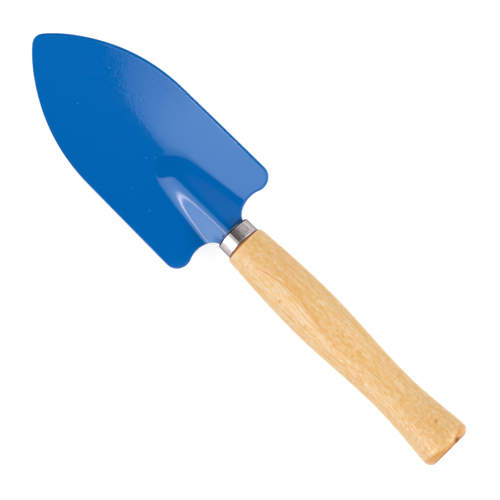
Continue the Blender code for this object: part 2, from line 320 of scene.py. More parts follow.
def outwardNormals(points):  # square to the outline, mitred so that insets keep their width
    ends = np.concatenate([points[1:2] * [1, -1], points, points[-2:-1] * [1, -1]])
    steps = np.diff(ends, axis=0)
    steps = steps / np.linalg.norm(steps, axis=1, keepdims=True)
    sides = np.stack([steps[:, 1], -steps[:, 0]], axis=1)
    total = sides[:-1] + sides[1:]
    return 2 * total / np.maximum((total ** 2).sum(axis=1, keepdims=True), blade["mitreLeast"])


def insets(outline, neckStart):
    # how far in from the outline the rim's own faces start: widest in front, narrower at the rear and neck
    p = blade
    toFront = ease((outline[:, 0] - p["frontStart"]) / p["frontRun"])
    inset = p["rearInset"] + (p["inset"] - p["rearInset"]) * toFront
    blend = p["neckBlend"]
    easing = ease(np.arange(blend) / (blend - 1))
    inset[neckStart - blend:neckStart] = p["rearInset"] + (p["neckInset"] - p["rearInset"]) * easing
    inset[neckStart:] = p["neckInset"]
    return toFront, inset


def rimProfile():
    # (distance in from the outline, height above the underside, shares of the roll and of the bead), from
    # the top face to the underside: the face rolls over towards the sheared edge as a power of the distance,
    # with a bell-shaped bead of paint behind the roll, and both corners are quarter rounds
    p = blade
    r = p["edgeRound"]
    inward = np.linspace(p["inset"], r, p["faceSteps"])[1:-1]
    roll = np.clip((p["rollWidth"] - inward) / (p["rollWidth"] - r), 0.0, 1.0) ** p["rollPower"]
    bead = np.exp(-((inward - p["beadPlace"]) / p["beadWidth"]) ** 2)
    top = np.stack([inward, np.full_like(inward, p["sheet"]), roll, bead], axis=1)
    quarter = np.linspace(0.0, math.pi / 2, p["edgeSteps"])
    turnTop = [(r * (1 - math.sin(a)), p["sheet"] - r * (1 - math.cos(a)), 1.0, 0.0) for a in quarter]
    turnLow = [(r * (1 - math.cos(a)), r * (1 - math.sin(a)), 0.0, 0.0) for a in quarter]
    low = [(d, 0.0, 0.0, 0.0) for d in np.linspace(r, p["inset"], p["lowSteps"])[1:-1]]
    return np.array([*top, *turnTop, *turnLow, *low])


def mirrored(half):  # both halves of a grid whose first column is the centreline
    return np.concatenate([half[:, :0:-1] * [1, -1], half], axis=1)


def planGrids(inner, sideCount, neckStart):
    # the blade and the tang in plan, inside the rim; a row of the blade takes its spacing and its bow from
    # the tip's outline, an even row and the rear's outline, with eased weights between the three
    p = blade
    columns = p["ribColumns"] + p["wingColumns"]
    tipRow = inner[:columns + 1]
    sideS, sideY = inner[columns:sideCount, :1], inner[columns:sideCount, 1:]
    rearEdge = inner[sideCount - 1:neckStart][::-1]
    rearRow = chain(np.linspace((0.0, 0.0), rearEdge[0], p["ribColumns"] + 1), rearEdge)
    even = chain(np.linspace(0, p["ribShare"], p["ribColumns"] + 1),
                 np.linspace(p["ribShare"], 1.0, p["wingColumns"] + 1))
    tipBow, rearBow = ((row[:, 0] - row[-1, 0]) / (row[0, 0] - row[-1, 0]) for row in (tipRow, rearRow))
    row = np.arange(len(sideS))[:, None]
    tip = 1 - ease(row / p["frontRows"])
    rear = ease((row - p["frontRows"] - p["middleRows"] + p["rearBlend"]) / (p["rearRows"] + p["rearBlend"]))
    plain = 1 - tip - rear
    share = even * plain + tipRow[:, 1] / tipRow[-1, 1] * tip + rearRow[:, 1] / rearRow[-1, 1] * rear
    centreS = tipRow[0, 0] + (rearRow[0, 0] - tipRow[0, 0]) * row / row[-1]
    bow = (centreS - sideS) * (tipBow * tip + rearBow * rear + (1 - share) * plain)
    body = np.stack([sideS + bow, share * sideY], axis=-1)

    tangEdge = inner[neckStart:neckStart + p["tangRows"] + 1]
    back = np.linspace(0.0, 1.0, p["tangRows"] + 1)[:, None]
    share = np.linspace(0.0, 1.0, p["ribColumns"] + 1)
    start = tangEdge[0, 0] * share
    tang = np.stack([start + (tangEdge[-1, 0] - start) * back, share * tangEdge[:, 1:]], axis=-1)
    return mirrored(body), mirrored(tang)[1:]


def halfBoundary(grid, tangIds):  # ids along the +Y edge, from the tip back to the tang's end
    middle, rib = grid.shape[1] // 2, tangIds.shape[1] // 2
    return np.concatenate([grid[0, middle:], grid[1:, -1], grid[-1, middle + rib:-1][::-1],
                           tangIds[:, -1], tangIds[-1, rib:-1][::-1]])


def roundTrip(there, back):  # along one half and back along the other, sharing both ends
    return np.concatenate([there, back[1:-1][::-1]])


def quads(ids):
    return np.stack([ids[:-1, :-1], ids[1:, :-1], ids[1:, 1:], ids[:-1, 1:]], axis=-1).reshape(-1, 4)


def makeBlade(material):
    p = blade
    tipRun, sideRun, rear, tangSide, tangEnd = halfOutline()
    outline = chain(tipRun, sideRun, rear, tangSide, tangEnd)
    normals = outwardNormals(outline)
    sideCount = len(tipRun) + len(sideRun) - 1
    neckStart = sideCount + len(rear) - 1
    toFront, inset = insets(outline, neckStart)
    body, tang = planGrids(outline - normals * inset[:, None], sideCount, neckStart)

    grid = np.arange(body[..., 0].size).reshape(body.shape[:2])
    tangIds = grid.size + np.arange(tang[..., 0].size).reshape(tang.shape[:2])
    middle = p["ribColumns"] + p["wingColumns"]
    neckIds = grid[-1, middle - p["ribColumns"]:middle + p["ribColumns"] + 1]
    tangGrid = np.concatenate([neckIds[None], tangIds])
    flat = np.concatenate([body.reshape(-1, 2), tang.reshape(-1, 2)])
    count = len(flat)
    loop = roundTrip(halfBoundary(grid, tangIds), halfBoundary(grid[:, ::-1], tangIds[:, ::-1]))
    loopOutline = roundTrip(outline, outline * [1, -1])
    loopNormals = roundTrip(normals, normals * [1, -1])
    loopScale = roundTrip(inset, inset) / p["inset"]

    vertices = [raised(flat[:, 0], flat[:, 1], p["sheet"]), raised(flat[:, 0], flat[:, 1], 0.0)]
    rings = [loop]
    # the roll is deep on the side where the punch entered, and slight elsewhere; the bead grows to the tip
    rolled = ease(-loopOutline[:, 1] / p["rollSide"])
    rolled = rolled * ease((loopOutline[:, 0] - p["rollStart"]) / p["rollRun"])
    rollFall = p["rollDepth"] * (p["rollLeast"] + (1 - p["rollLeast"]) * rolled)
    beadRise = (p["beadHeight"] + p["beadFront"] * roundTrip(toFront, toFront)) * rolled
    for k, (distance, height, rollShare, beadShare) in enumerate(rimProfile()):
        ring = loopOutline - loopNormals * (distance * loopScale)[:, None]
        square = p["rimSquare"] * (1 - distance / p["inset"]) ** 2  # keeps the rim over the plan outline
        drift = sheetNormal(ring[:, 0], ring[:, 1]) * [square, square, 0.0]
        lift = height - rollShare * rollFall + beadShare * beadRise
        vertices.append(raised(ring[:, 0], ring[:, 1], lift) - drift)
        rings.append(2 * count + k * len(loop) + np.arange(len(loop)))
    rings.append(count + loop)

    faces = [quads(grid)[:, ::-1], quads(tangGrid)[:, ::-1], quads(grid) + count, quads(tangGrid) + count]
    for inside, outside in zip(rings, rings[1:]):
        faces.append(np.stack([inside, outside, np.roll(outside, -1), np.roll(inside, -1)], axis=-1))
    vertices = np.concatenate(vertices) * mm + [mouthX, 0.0, axisZ]
    faces = np.concatenate(faces).tolist()
    addPiece("painted_blade", vertices, faces, "blade", material)


# Turned pieces: lengths in millimetres from the butt, radii from the handle's axis

def turnProfile(name, profile, steps, node, material, shape=None):
    # a profile of (x, radius) carried round the axis: (x, radius * cos, radius * sin); a point on the axis
    # gives one vertex, and a profile that never reaches the axis is closed to a ring
    profile = np.asarray(profile, dtype=float)
    angles = np.arange(steps) * 2 * math.pi / steps
    onAxis = profile[:, 1] < 1e-9
    x = np.repeat(profile[:, :1], steps, axis=1)
    radius = np.repeat(profile[:, 1:], steps, axis=1)
    points = np.stack([x, radius * np.cos(angles), radius * np.sin(angles)], axis=-1)
    if shape is not None:
        points = shape(points)
    counts = np.where(onAxis, 1, steps)
    ids = (np.cumsum(counts) - counts)[:, None] + np.where(onAxis[:, None], 0, np.arange(steps))
    pairs = list(zip(ids, ids[1:]))
    if not onAxis.any():
        pairs.append((ids[-1], ids[0]))
    corners = np.concatenate([np.stack([a, b, np.roll(b, -1), np.roll(a, -1)], axis=-1) for a, b in pairs])
    faces = [list(dict.fromkeys(quad)) for quad in corners.tolist()]
    faces = [face for face in faces if len(face) > 2]
    vertices = np.concatenate([points[i, :n] for i, n in enumerate(counts)]) * mm + [buttX, 0.0, axisZ]
    addPiece(name, vertices, faces, node, material)


handle = {
    "gripLength": 148.5, "buttRadius": 14.0, "buttRound": 4.3, "waistRadius": 11.45, "waistPlace": 41.5,
    "swellRadius": 13.9, "swellPlace": 99.0, "shoulderRadius": 11.8, "shoulderRound": 1.3,
    "shoulderPull": 4.0, "shoulderFall": 0.32,
    "frontPull": 0.45, "backPull": 0.33, "flarePull": 0.42, "buttPull": 0.1,
    "spigotRadius": 9.15, "spigotEnd": 155.0,
    "holeRadius": 5.2, "holeMouth": 7.6, "holeFlare": 4.0, "holeStart": 92.0,
    "chipAlong": 0.6, "chipAcross": -5.6, "chipUp": 10.6, "chipSize": 1.6, "chipDepth": 0.6,
    "chipPush": 0.7, "chipAside": 0.35,
    "curveSteps": 48, "flareSteps": 40, "buttSteps": 18, "faceSteps": 10, "shoulderSteps": 12,
    "ledgeSteps": 4, "steps": 256,
}


def gripProfile():
    p = handle
    shoulderStart = (p["gripLength"] - p["shoulderRound"], p["shoulderRadius"])
    spigot = np.array([(p["spigotEnd"], p["spigotRadius"]), (p["gripLength"], p["spigotRadius"])])
    shoulder = arc((shoulderStart[0], p["shoulderRadius"] - p["shoulderRound"]), p["shoulderRound"],
                   0.0, math.pi / 2, p["shoulderSteps"])
    ledge = np.linspace(spigot[1], shoulder[0], p["ledgeSteps"])
    swell = (p["swellPlace"], p["swellRadius"])
    waist = (p["waistPlace"], p["waistRadius"])
    frontRun = swell[0] + p["frontPull"] * (p["gripLength"] - swell[0])
    shoulderPull = (shoulderStart[0] - p["shoulderPull"], shoulderStart[1] + p["shoulderFall"])
    front = bezier(shoulderStart, shoulderPull, (frontRun, swell[1]), swell, p["curveSteps"])
    backRun = p["backPull"] * (swell[0] - waist[0])
    back = bezier(swell, (swell[0] - backRun, swell[1]), (waist[0] + backRun, waist[1]), waist,
                  p["curveSteps"])
    flareRun = waist[0] - p["buttRound"]
    flare = bezier(waist, (waist[0] - p["flarePull"] * flareRun, waist[1]),
                   (p["buttRound"] + p["buttPull"] * flareRun, p["buttRadius"]),
                   (p["buttRound"], p["buttRadius"]), p["flareSteps"])
    butt = arc((p["buttRound"], p["buttRadius"] - p["buttRound"]), p["buttRound"],
               math.pi / 2, math.pi, p["buttSteps"])
    face = np.linspace(butt[-1], (0.0, 0.0), p["faceSteps"])
    hole = np.array([(p["holeStart"], 0.0), (p["holeStart"], p["holeRadius"]),
                     (p["spigotEnd"] - p["holeFlare"], p["holeRadius"]), (p["spigotEnd"], p["holeMouth"]),
                     (p["spigotEnd"], p["spigotRadius"])])
    return chain(hole, spigot, ledge, shoulder, front, back, flare, butt, face)


def chipped(points):  # a bell-shaped dent in the butt's edge, pressed in towards the axis
    p = handle
    gap = points - np.array([p["chipAlong"], p["chipAcross"], p["chipUp"]])
    depth = p["chipDepth"] * np.exp(-(gap ** 2).sum(axis=-1, keepdims=True) / p["chipSize"] ** 2)
    inward = np.array([p["chipPush"], -p["chipAside"] * p["chipAcross"] / p["chipUp"], -p["chipPush"]])
    return points + depth * inward


def makeHandle(material):
    turnProfile("turned_handle", gripProfile(), handle["steps"], "handle", material, chipped)


ferrule = {
    "rear": 148.8, "length": 8.7, "radius": 10.35, "taper": 0.1, "wall": 0.8,
    "lipRadius": 9.1, "lipRound": 0.9, "lipFace": 0.2, "lipBreak": 0.15, "rearRound": 0.25,
    "boreSteps": 8, "lipSteps": 10, "bodySteps": 12, "rearSteps": 5, "steps": 192,
}


def makeFerrule(material):
    p = ferrule
    mouth = p["rear"] + p["length"]
    frontRadius = p["radius"] - p["taper"]
    bore = frontRadius - p["wall"]
    inner = np.linspace((p["rear"], p["radius"] - p["wall"]),
                        (mouth - p["wall"] - (bore - p["lipRadius"]), bore), p["boreSteps"])
    lipInside = np.array([inner[-1], (mouth - p["wall"], p["lipRadius"]),
                          (mouth - p["lipFace"], p["lipRadius"]), (mouth, p["lipRadius"] + p["lipBreak"])])
    lip = arc((mouth - p["lipRound"], frontRadius - p["lipRound"]), p["lipRound"],
              0.0, math.pi / 2, p["lipSteps"])
    rearCorner = arc((p["rear"] + p["rearRound"], p["radius"] - p["rearRound"]), p["rearRound"],
                     math.pi / 2, math.pi, p["rearSteps"])
    body = np.linspace(lip[-1], rearCorner[0], p["bodySteps"])
    profile = chain(inner, lipInside, (lipInside[-1], lip[0]), lip, body, rearCorner)
    turnProfile("steel_ferrule", profile, p["steps"], "ferrule", material)


# Finishes: patterns are laid out in millimetres from the butt, on the handle's axis

def fromButt(tree):
    corner = [-buttX / mm, 0.0, -axisZ / mm]
    return stretch(tree, tree.nodes.new("ShaderNodeTexCoord").outputs["Object"], (1 / mm,) * 3, corner)


def newGroup(name, given, result):  # takes a place and named numbers, and gives a number
    group = bpy.data.node_groups.new(name, "ShaderNodeTree")
    group.interface.new_socket("Place", in_out="INPUT", socket_type="NodeSocketVector")
    for socketName, value in given.items():
        socket = group.interface.new_socket(socketName, in_out="INPUT", socket_type="NodeSocketFloat")
        socket.default_value = value
    group.interface.new_socket(result, in_out="OUTPUT", socket_type="NodeSocketFloat")
    return group, group.nodes.new("NodeGroupInput").outputs, group.nodes.new("NodeGroupOutput").inputs


def place(tree, group, **inputs):
    return addNode(tree, "ShaderNodeGroup", inputs, node_tree=group)


def makeRippleGroup():  # soft waves in a coat, with pits where the finer waves run deepest
    fineTimes, pitStart, pitFull, pitDepth = 2.6, 0.34, 0.27, 0.5
    group, given, out = newGroup("coat_ripple", {"Size": 2.0, "Fine": 0.35, "Pits": 0.5}, "Height")
    scale = maths(group, "DIVIDE", 1.0, given["Size"])
    broad = noise(group, given["Place"], scale, 1.0, 0.25)
    fine = noise(group, given["Place"], times(group, scale, fineTimes), 0.0)
    waves = maths(group, "MULTIPLY_ADD", fine, given["Fine"], broad)
    fall = times(group, given["Pits"], -pitDepth)
    put(out["Height"], maths(group, "MULTIPLY_ADD", band(group, fine, pitStart, pitFull), fall, waves))
    return group


def makeWearGroup():  # fine handling marks: short hairlines in patches, mostly one way
    lineStart, lineFull, patchScale, patchStart, patchFull = 0.55, 0.75, 0.09, 0.42, 0.66
    group, given, out = newGroup("handling_marks", {"Along": 0.12, "Across": 2.4, "Amount": 0.5}, "Mask")
    across = given["Across"]
    factors = addNode(group, "ShaderNodeCombineXYZ", {"X": given["Along"], "Y": across, "Z": across})[0]
    lines = noise(group, stretch(group, given["Place"], factors), 1.0, 3.0, 0.6)
    patches = noise(group, given["Place"], patchScale, 2.0, 0.5)
    marks = times(group, band(group, lines, lineStart, lineFull),
                  band(group, patches, patchStart, patchFull))
    put(out["Mask"], times(group, marks, given["Amount"]))
    return group


rippleGroup = makeRippleGroup()
wearGroup = makeWearGroup()


def handled(tree, where, p):  # the mask of a finish's handling marks
    return place(tree, wearGroup, Place=where, Along=p["marksAlong"], Across=p["marksAcross"],
                 Amount=p["marks"])["Mask"]


def spots(tree, where, places):  # the largest of soft round spots, each (x, y, z, radius, strength)
    core = 0.4  # share of the radius that has the full strength
    total = 0.0
    for x, y, z, radius, strength in places:
        gap = addNode(tree, "ShaderNodeVectorMath", {0: where, 1: (x, y, z)}, operation="DISTANCE")["Value"]
        total = maths(tree, "MAXIMUM", band(tree, gap, radius, radius * core, 0.0, strength), total)
    return total


paint = {
    "colour": (0.0, 0.140, 0.491), "ior": 1.675, "tint": (0.64, 0.81, 1.0), "roughness": 0.02,
    "rippleSize": 1.3, "rippleFine": 0.3, "ripplePits": 0.7, "rippleDepth": 0.00005, "rippleRear": 0.05,
    "rippleStart": 40.0, "rippleEnd": 85.0,
    "marks": 0.35, "marksAlong": 0.3, "marksAcross": 1.6, "markRoughness": 0.03,
    # dust nibs under the coat, as (s, y)
    "nibs": [(114.0, -16.3), (88.3, -16.1), (40.8, 22.6), (60.4, 0.6), (63.9, 4.0), (57.0, 20.8),
             (112.6, 9.6)],
    "nibColour": (0.12, 0.30, 0.60), "nibRadius": 0.4,
    # the thick dark line where the neck enters the ferrule, painted contact shadow with some grime, wider on
    # one side
    "jointShadowAndGrime": (0.0, 0.01, 0.05), "jointShadowWidth": 1.9, "jointShadowGrowth": 1.5, "jointShadowNarrow": 3.0, "jointShadowWide": -7.0,
    "jointShadowFade": 0.4, "jointShadowShare": 0.72,
    # a drop that left a ring beside it
    "ringAlong": 1.9, "ringAcross": 4.6, "ringOuter": 1.0, "ringInner": 0.6, "ringFall": 3.0,
    "ringColour": (0.0, 0.03, 0.15),
}


def onTopFace(s, y):  # a place on the blade's upper face, seen from the butt
    underside = float(sheetPoint(np.array([s]), np.array([y]))[0, 2])
    return (mouthX - buttX) / mm + s, y, underside + blade["sheet"]


def paintMaterial():
    p = paint
    material, tree, shader = newMaterial("blue_gloss_paint")
    where = fromButt(tree)
    x, y, z = axes(tree, where)
    mouth = (mouthX - buttX) / mm
    nib = spots(tree, where, [(*onTopFace(*nibPlace), p["nibRadius"], 1.0) for nibPlace in p["nibs"]])
    ringPlace = onTopFace(p["ringAlong"], p["ringAcross"])
    ring = maths(tree, "SUBTRACT", spots(tree, where, [(*ringPlace, p["ringOuter"], 1.0)]),
                 spots(tree, where, [(*ringPlace, p["ringInner"], 1.0)]), clamp=True)
    # painted contact shadow with some grime on the paint beside the ferrule's mouth, wider on one side
    reach = band(tree, y, p["jointShadowNarrow"], p["jointShadowWide"],
                 p["jointShadowWidth"], p["jointShadowWidth"] + p["jointShadowGrowth"])
    jointShadowAndGrime = maths(tree, "DIVIDE", minus(tree, x, mouth), reach)
    jointShadowAndGrime = band(tree, jointShadowAndGrime, 1.0, p["jointShadowFade"], 0.0, p["jointShadowShare"])
    colour = layered(tree, p["colour"], (nib, p["nibColour"]), (ring, p["ringColour"]), (jointShadowAndGrime, p["jointShadowAndGrime"]))
    put(shader.inputs["Base Color"], colour)
    put(shader.inputs["IOR"], p["ior"])
    put(shader.inputs["Specular Tint"], p["tint"])
    marks = handled(tree, where, p)
    put(shader.inputs["Roughness"], maths(tree, "MULTIPLY_ADD", marks, p["markRoughness"], p["roughness"]))
    ripple = place(tree, rippleGroup, Place=where, Size=p["rippleSize"], Fine=p["rippleFine"],
                   Pits=p["ripplePits"])["Height"]
    front = band(tree, x, mouth + p["rippleStart"], mouth + p["rippleEnd"], p["rippleRear"], 1.0)
    height = maths(tree, "MULTIPLY_ADD", ripple, front, nib)
    height = maths(tree, "MULTIPLY_ADD", ring, -p["ringFall"], height)
    put(shader.inputs["Normal"], bump(tree, height, p["rippleDepth"]))
    return material


steel = {
    "bright": (0.61, 0.535, 0.54), "dull": (0.50, 0.44, 0.45), "grazingShade": (0.4, 0.36, 0.4), "roughness": 0.2,
    "streakScale": (0.06, 2.0, 2.0), "streakStart": 0.35, "streakEnd": 0.65, "streakDepth": 0.00012,
    "marks": 0.6, "marksAlong": 0.5, "marksAcross": 3.0, "markRoughness": 0.15,
    # both rims, painted light: a dark line at the edge and a bright one inside it; the bright lines are
    # painted highlights, the dark one is painted shade at the rear and a painted reflection of the blade on
    # the front lip
    "rimShadeAndReflection": (0.04, 0.045, 0.10), "rimHighlight": (0.74, 0.72, 0.76), "lineSoft": 0.1,
    "rimWidth": 0.22, "lineWidth": 0.14, "rimSoft": 0.06,
    "lipWidth": 1.2, "lipEnd": 0.45, "edgeWidth": 0.25,
}


def steelMaterial():
    p = steel
    material, tree, shader = newMaterial("drawn_steel")
    where = fromButt(tree)
    x, y, z = axes(tree, where)
    streaks = noise(tree, stretch(tree, where, p["streakScale"]), 1.0, 3.0, 0.6)
    colour = mixColour(tree, band(tree, streaks, p["streakStart"], p["streakEnd"]), p["dull"], p["bright"])
    # painted light on both rims: highlight lines, shade at the rear edge, and on the front lip a reflection
    # of the blue blade
    rimEnd = ferrule["rear"] + p["rimWidth"]
    rearHighlight = before(tree, x, rimEnd + p["lineWidth"], p["lineSoft"])
    rearShade = before(tree, x, rimEnd, p["rimSoft"])
    mouth = ferrule["rear"] + ferrule["length"]
    lipStart = mouth - p["lipWidth"]
    frontHighlight = past(tree, x, lipStart - p["edgeWidth"], p["lineSoft"])
    lip = times(tree, past(tree, x, lipStart, p["lineSoft"]),
                before(tree, x, mouth - p["lipEnd"], p["lineSoft"]))
    colour = layered(tree, colour, (rearHighlight, p["rimHighlight"]), (rearShade, p["rimShadeAndReflection"]),
                     (frontHighlight, p["rimHighlight"]), (lip, p["rimShadeAndReflection"]))
    put(shader.inputs["Base Color"], colour)
    put(shader.inputs["Metallic"], 1.0)
    # a dark grazing tint: painted shade in the metal's reflections of the floor at grazing angles
    put(shader.inputs["Specular Tint"], p["grazingShade"])
    marks = handled(tree, where, p)
    put(shader.inputs["Roughness"], maths(tree, "MULTIPLY_ADD", marks, p["markRoughness"], p["roughness"]))
    put(shader.inputs["Normal"], bump(tree, streaks, p["streakDepth"]))
    return material


wood = {
    # fibres, strands and flecks give a tone, and the tone picks from three colours
    "dark": (0.82, 0.38, 0.02), "mid": (0.845, 0.49, 0.145), "light": (0.872, 0.675, 0.45),
    "fibreScale": (0.17, 4.6, 4.6), "fibreRough": 0.85, "fibreShare": 0.85,
    "strandScale": (0.035, 0.8, 0.8), "strandOffset": (7.0, 3.0, 1.0), "strandRough": 0.55, "strandWarp": 0.2,
    "strandShare": 0.15,
    "fleckScale": (1.3, 0.45, 0.45), "fleckOffset": (0.0, 5.0, 2.0), "fleckShare": 0.12,
    "toneDark": 0.45, "toneMid": 0.5, "toneLight": 0.55,
    # painted light: a paler, whiter tint on the grip's +Y side, where the main light falls, stands in for
    # sheen, and a golden tint on the -Y side for shade
    "shadedSideTint": (0.955, 0.945, 0.85), "sheenSideTint": (0.975, 1.05, 1.17), "shadedSideEnd": -2.0, "sheenSideStart": 3.0,
    # rings: the one that crests the swell has a twin beside it
    "ring": (0.80, 0.31, 0.005), "ringSpacing": 11.4, "ringLean": 0.35, "ringTop": 13.6, "ringWidth": 0.04,
    "ringStart": 68.0, "ringFull": 80.0, "ringFade": 131.0, "ringEnd": 138.0,
    "ringBreakStart": 0.3, "ringBreakEnd": 0.6, "ringBreak": 0.45,
    "crestTurn": 0.4, "otherTurn": 0.6, "otherShare": 0.45,
    "bowPlace": 112.0, "bowFront": 26.0, "bowRear": 44.0, "bowHeight": 3.6,
    "waver": 0.8, "waverScale": (0.03, 0.12, 0.12),
    "twinGap": 0.8, "twinWidth": 0.35, "twinCore": 0.05,
    "twinStart": 106.0, "twinFull": 99.0, "twinShare": 0.8,
    # pin knots, as (x, y, radius, strength)
    "knot": (0.66, 0.24, 0.02),
    "knots": [(137.4, 7.1, 0.75, 0.7), (113.0, 7.7, 0.85, 1.0), (94.8, 7.7, 1.0, 0.5), (66.9, 2.0, 0.55, 0.8),
              (14.8, -4.9, 1.5, 0.7)],
    # butt: end grain on its rounding, drawn further along towards the top and bottom edges as painted shade,
    # a darker face that is partly end grain and partly painted shade along the outline, and the chip
    "endGrainAndShade": (0.72, 0.31, 0.03), "endStart": 3.2, "endFull": 0.6, "endShare": 0.95, "endRagged": 3.0,
    "endShadeBow": 0.26, "face": (0.46, 0.18, 0.04), "faceStart": 1.1, "faceFull": 0.3,
    "chip": (0.22, 0.06, 0.005), "chipRadius": 2.6, "chipStrength": 0.95,
    "chipFibreStart": 0.3, "chipFibreEnd": 0.6, "chipFibreShare": 0.5,
    # shoulder: painted shade with some stain where it goes under the ferrule's edge, a painted highlight line
    # behind it, and painted shadow with some dirt in the dark gap to the ferrule
    "shoulder": (0.56, 0.17, 0.01), "shadeStainMiddle": 1.5, "shadeStainHalf": 8.5, "shadeStainStart": 0.95,
    "shadeStainWidth": 0.5, "shadeStainSoft": 0.2, "shadeStainShare": 0.9,
    "shoulderHighlight": (0.95, 0.76, 0.45), "shoulderHighlightPlace": 0.45, "shoulderHighlightWidth": 0.4, "shoulderHighlightCore": 0.1, "shoulderHighlightShare": 0.55,
    "gap": (0.12, 0.05, 0.02), "gapShadowStart": 0.35, "gapShadowFull": 0.1,
    # lacquer
    "coatWeight": 1.0, "coatLeast": 0.05, "coatIor": 1.65, "coatRoughness": 0.55,
    "bareFull": 0.8, "bareButtStart": 1.4, "bareButtFull": 0.6, "bareButt": 0.75, "bareShadeStain": 0.5,
    "roughness": 0.55, "roughnessButt": 0.13, "roughnessChip": 0.8, "glossStart": 6.5, "glossFull": 4.0,
    "marks": 0.5, "marksAlong": 0.1, "marksAcross": 2.0, "markDepth": 0.3,
    "rippleSize": 3.0, "fibreHeight": 0.5, "grainDepth": 0.00005,
}


def gripRadius(x):  # the grip's radius at a distance from the butt, from its own profile
    profile = gripProfile()
    order = np.argsort(profile[:, 0])
    return float(np.interp(x, profile[order, 0], profile[order, 1]))


def woodRings(tree, where, strands):
    # nearly flat layers that lean, bow over the swell, and waver; the signed distance from the crest's layer,
    # divided by the spacing, is whole on each line; returns that distance and the lines' mask
    p = wood
    x, y, z = axes(tree, where)
    bow = maths(tree, "ADD", band(tree, x, p["bowPlace"], p["bowPlace"] + p["bowFront"], 0.0, p["bowHeight"]),
                band(tree, x, p["bowPlace"], p["bowPlace"] - p["bowRear"], 0.0, p["bowHeight"]))
    layer = maths(tree, "MULTIPLY_ADD", minus(tree, z, p["ringTop"]), p["ringLean"], y)
    layer = minus(tree, layer, bow)
    waver = noise(tree, stretch(tree, where, p["waverScale"]), 1.0, 2.0, 0.5)
    layer = maths(tree, "MULTIPLY_ADD", minus(tree, waver, 0.5), p["waver"], layer)
    turn = maths(tree, "DIVIDE", layer, p["ringSpacing"])
    edge = apart(tree, turn, maths(tree, "ROUND", turn))
    crest = band(tree, maths(tree, "ABSOLUTE", turn), p["crestTurn"], p["otherTurn"], 1.0, p["otherShare"])
    line = times(tree, band(tree, edge, p["ringWidth"], 0.0), crest)
    twin = apart(tree, layer, p["twinGap"])
    twin = times(tree, band(tree, twin, p["twinWidth"], p["twinCore"]),
                 band(tree, x, p["twinStart"], p["twinFull"], 0.0, p["twinShare"]))
    broken = band(tree, strands, p["ringBreakStart"], p["ringBreakEnd"], p["ringBreak"], 1.0)
    line = times(tree, maths(tree, "MAXIMUM", line, twin), band(tree, x, p["ringStart"], p["ringFull"]),
                 band(tree, x, p["ringEnd"], p["ringFade"]), broken)
    return layer, line


